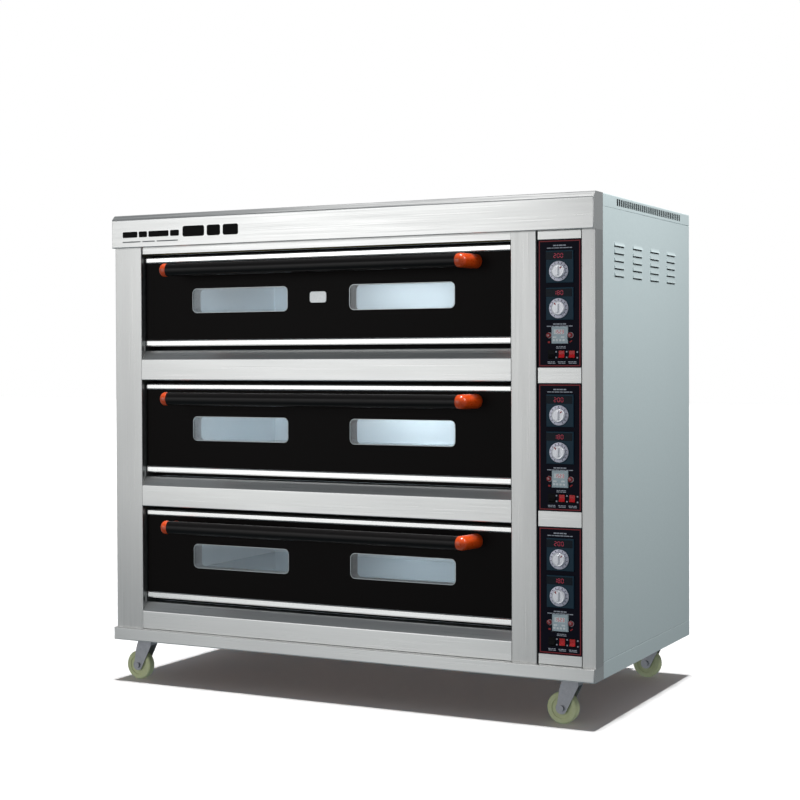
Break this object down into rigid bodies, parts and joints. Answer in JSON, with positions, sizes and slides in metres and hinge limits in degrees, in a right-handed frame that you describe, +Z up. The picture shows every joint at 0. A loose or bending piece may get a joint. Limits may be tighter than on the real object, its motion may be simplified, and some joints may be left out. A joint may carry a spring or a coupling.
{
  "type": "deck oven",
  "caption": "Electric bakery deck oven: stacked baking chambers with drop-down windowed doors, a control column at the right and swivel castors.",
  "frame": {"origin": "on the floor under the centre of the oven's overall box", "axes": "+X to the oven's right as its user faces it, +Y to its back, +Z up"},
  "size_m": [1.67, 0.987, 1.514],
  "materials": {
    "stainless": "satin",
    "casing_paint": "satin",
    "black_enamel": "gloss",
    "door_steel": "polished",
    "window_glass": "gloss",
    "handle_tube": "satin",
    "handle_orange": "gloss",
    "chamber_steel": "satin",
    "hearth_steel": "matte",
    "heater_steel": "satin",
    "rock_wool": "matte",
    "control_print": "satin",
    "thermostat_case": "satin",
    "dial_white": "satin",
    "timer_case": "satin",
    "lamp_red": "gloss",
    "switch_black": "satin",
    "rocker_red": "gloss",
    "castor_steel": "satin",
    "castor_nylon": "satin",
    "lamp_socket": "satin",
    "terminal_grey": "satin"
  },
  "bodies": {
    "oven": {"back_panel": "casing_paint", "bake_timers": "timer_case", "baking_chambers": "chamber_steel", "base_fascia": "stainless", "base_frame": "casing_paint", "castor_plates": "castor_steel", "control_panels": "control_print", "control_spacers": "stainless", "deck_sills": "stainless", "front_pillars": "stainless", "hearth_plates": "hearth_steel", "heating_elements": "heater_steel", "hood": "stainless", "indicator_lamps": "lamp_red", "insulation": "rock_wool", "left_side_panel": "casing_paint", "oven_lamps": "lamp_socket", "right_side_panel": "casing_paint", "switch_housings": "switch_black", "terminal_box": "terminal_grey", "thermostat_bodies": "thermostat_case", "top_cover": "casing_paint"},
    "door_bottom": {"door_panel_bottom": "black_enamel", "door_frame_bottom": "door_steel", "door_glass_bottom": "window_glass", "handle_bar_bottom": "handle_tube", "handle_ends_bottom": "handle_orange"},
    "door_middle": {"door_panel_middle": "black_enamel", "door_frame_middle": "door_steel", "door_glass_middle": "window_glass", "handle_bar_middle": "handle_tube", "handle_ends_middle": "handle_orange"},
    "door_top": {"door_panel_top": "black_enamel", "door_frame_top": "door_steel", "door_glass_top": "window_glass", "handle_bar_top": "handle_tube", "handle_ends_top": "handle_orange"},
    "upper_heat_knob_bottom": {"upper_heat_knob_bottom": "dial_white"},
    "lower_heat_knob_bottom": {"lower_heat_knob_bottom": "dial_white"},
    "lamp_switch_bottom": {"lamp_switch_bottom": "switch_black"},
    "power_switch_bottom": {"power_switch_bottom": "rocker_red"},
    "timer_switch_bottom": {"timer_switch_bottom": "rocker_red"},
    "upper_heat_knob_middle": {"upper_heat_knob_middle": "dial_white"},
    "lower_heat_knob_middle": {"lower_heat_knob_middle": "dial_white"},
    "lamp_switch_middle": {"lamp_switch_middle": "switch_black"},
    "power_switch_middle": {"power_switch_middle": "rocker_red"},
    "timer_switch_middle": {"timer_switch_middle": "rocker_red"},
    "upper_heat_knob_top": {"upper_heat_knob_top": "dial_white"},
    "lower_heat_knob_top": {"lower_heat_knob_top": "dial_white"},
    "lamp_switch_top": {"lamp_switch_top": "switch_black"},
    "power_switch_top": {"power_switch_top": "rocker_red"},
    "timer_switch_top": {"timer_switch_top": "rocker_red"},
    "castor_fork_front_left": {"castor_fork_front_left": "castor_steel"},
    "castor_wheel_front_left": {"castor_wheel_front_left": "castor_nylon"},
    "castor_fork_front_right": {"castor_fork_front_right": "castor_steel"},
    "castor_wheel_front_right": {"castor_wheel_front_right": "castor_nylon"},
    "castor_fork_rear_left": {"castor_fork_rear_left": "castor_steel"},
    "castor_wheel_rear_left": {"castor_wheel_rear_left": "castor_nylon"},
    "castor_fork_rear_right": {"castor_fork_rear_right": "castor_steel"},
    "castor_wheel_rear_right": {"castor_wheel_rear_right": "castor_nylon"}
  },
  "joints": [
    {"name": "door_bottom_hinge", "type": "hinge", "parent": "oven", "child": "door_bottom", "pos_m": [-0.07775, -0.3915, 0.281], "axis": [1, 0, 0], "range_deg": [0, 90]},
    {"name": "door_middle_hinge", "type": "hinge", "parent": "oven", "child": "door_middle", "pos_m": [-0.07775, -0.3915, 0.689], "axis": [1, 0, 0], "range_deg": [0, 90]},
    {"name": "door_top_hinge", "type": "hinge", "parent": "oven", "child": "door_top", "pos_m": [-0.07775, -0.3915, 1.097], "axis": [1, 0, 0], "range_deg": [0, 90]},
    {"name": "upper_heat_knob_bottom_turn", "type": "hinge", "parent": "oven", "child": "upper_heat_knob_bottom", "pos_m": [0.722, -0.415, 0.476], "axis": [0, 1, 0], "range_deg": [0, 300]},
    {"name": "lower_heat_knob_bottom_turn", "type": "hinge", "parent": "oven", "child": "lower_heat_knob_bottom", "pos_m": [0.722, -0.415, 0.371], "axis": [0, 1, 0], "range_deg": [0, 300]},
    {"name": "lamp_switch_bottom_rock", "type": "hinge", "parent": "oven", "child": "lamp_switch_bottom", "pos_m": [0.696, -0.411, 0.24], "axis": [1, 0, 0], "range_deg": [0, 16]},
    {"name": "power_switch_bottom_rock", "type": "hinge", "parent": "oven", "child": "power_switch_bottom", "pos_m": [0.727, -0.411, 0.24], "axis": [1, 0, 0], "range_deg": [0, 16]},
    {"name": "timer_switch_bottom_rock", "type": "hinge", "parent": "oven", "child": "timer_switch_bottom", "pos_m": [0.758, -0.411, 0.24], "axis": [1, 0, 0], "range_deg": [0, 16]},
    {"name": "upper_heat_knob_middle_turn", "type": "hinge", "parent": "oven", "child": "upper_heat_knob_middle", "pos_m": [0.722, -0.415, 0.884], "axis": [0, 1, 0], "range_deg": [0, 300]},
    {"name": "lower_heat_knob_middle_turn", "type": "hinge", "parent": "oven", "child": "lower_heat_knob_middle", "pos_m": [0.722, -0.415, 0.779], "axis": [0, 1, 0], "range_deg": [0, 300]},
    {"name": "lamp_switch_middle_rock", "type": "hinge", "parent": "oven", "child": "lamp_switch_middle", "pos_m": [0.696, -0.411, 0.648], "axis": [1, 0, 0], "range_deg": [0, 16]},
    {"name": "power_switch_middle_rock", "type": "hinge", "parent": "oven", "child": "power_switch_middle", "pos_m": [0.727, -0.411, 0.648], "axis": [1, 0, 0], "range_deg": [0, 16]},
    {"name": "timer_switch_middle_rock", "type": "hinge", "parent": "oven", "child": "timer_switch_middle", "pos_m": [0.758, -0.411, 0.648], "axis": [1, 0, 0], "range_deg": [0, 16]},
    {"name": "upper_heat_knob_top_turn", "type": "hinge", "parent": "oven", "child": "upper_heat_knob_top", "pos_m": [0.722, -0.415, 1.292], "axis": [0, 1, 0], "range_deg": [0, 300]},
    {"name": "lower_heat_knob_top_turn", "type": "hinge", "parent": "oven", "child": "lower_heat_knob_top", "pos_m": [0.722, -0.415, 1.187], "axis": [0, 1, 0], "range_deg": [0, 300]},
    {"name": "lamp_switch_top_rock", "type": "hinge", "parent": "oven", "child": "lamp_switch_top", "pos_m": [0.696, -0.411, 1.056], "axis": [1, 0, 0], "range_deg": [0, 16]},
    {"name": "power_switch_top_rock", "type": "hinge", "parent": "oven", "child": "power_switch_top", "pos_m": [0.727, -0.411, 1.056], "axis": [1, 0, 0], "range_deg": [0, 16]},
    {"name": "timer_switch_top_rock", "type": "hinge", "parent": "oven", "child": "timer_switch_top", "pos_m": [0.758, -0.411, 1.056], "axis": [1, 0, 0], "range_deg": [0, 16]},
    {"name": "castor_swivel_front_left", "type": "hinge", "parent": "oven", "child": "castor_fork_front_left", "pos_m": [-0.741, -0.3715, 0.12], "axis": [0, 0, 1], "continuous": true},
    {"name": "castor_roll_front_left", "type": "hinge", "parent": "castor_fork_front_left", "child": "castor_wheel_front_left", "pos_m": [-0.769, -0.3715, 0.046], "axis": [0, 1, 0], "continuous": true},
    {"name": "castor_swivel_front_right", "type": "hinge", "parent": "oven", "child": "castor_fork_front_right", "pos_m": [0.741, -0.3715, 0.12], "axis": [0, 0, 1], "continuous": true},
    {"name": "castor_roll_front_right", "type": "hinge", "parent": "castor_fork_front_right", "child": "castor_wheel_front_right", "pos_m": [0.713, -0.3715, 0.046], "axis": [0, 1, 0], "continuous": true},
    {"name": "castor_swivel_rear_left", "type": "hinge", "parent": "oven", "child": "castor_fork_rear_left", "pos_m": [-0.741, 0.3835, 0.12], "axis": [0, 0, 1], "continuous": true},
    {"name": "castor_roll_rear_left", "type": "hinge", "parent": "castor_fork_rear_left", "child": "castor_wheel_rear_left", "pos_m": [-0.769, 0.3835, 0.046], "axis": [0, 1, 0], "continuous": true},
    {"name": "castor_swivel_rear_right", "type": "hinge", "parent": "oven", "child": "castor_fork_rear_right", "pos_m": [0.741, 0.3835, 0.12], "axis": [0, 0, 1], "continuous": true},
    {"name": "castor_roll_rear_right", "type": "hinge", "parent": "castor_fork_rear_right", "child": "castor_wheel_rear_right", "pos_m": [0.713, 0.3835, 0.046], "axis": [0, 1, 0], "continuous": true}
  ]
}
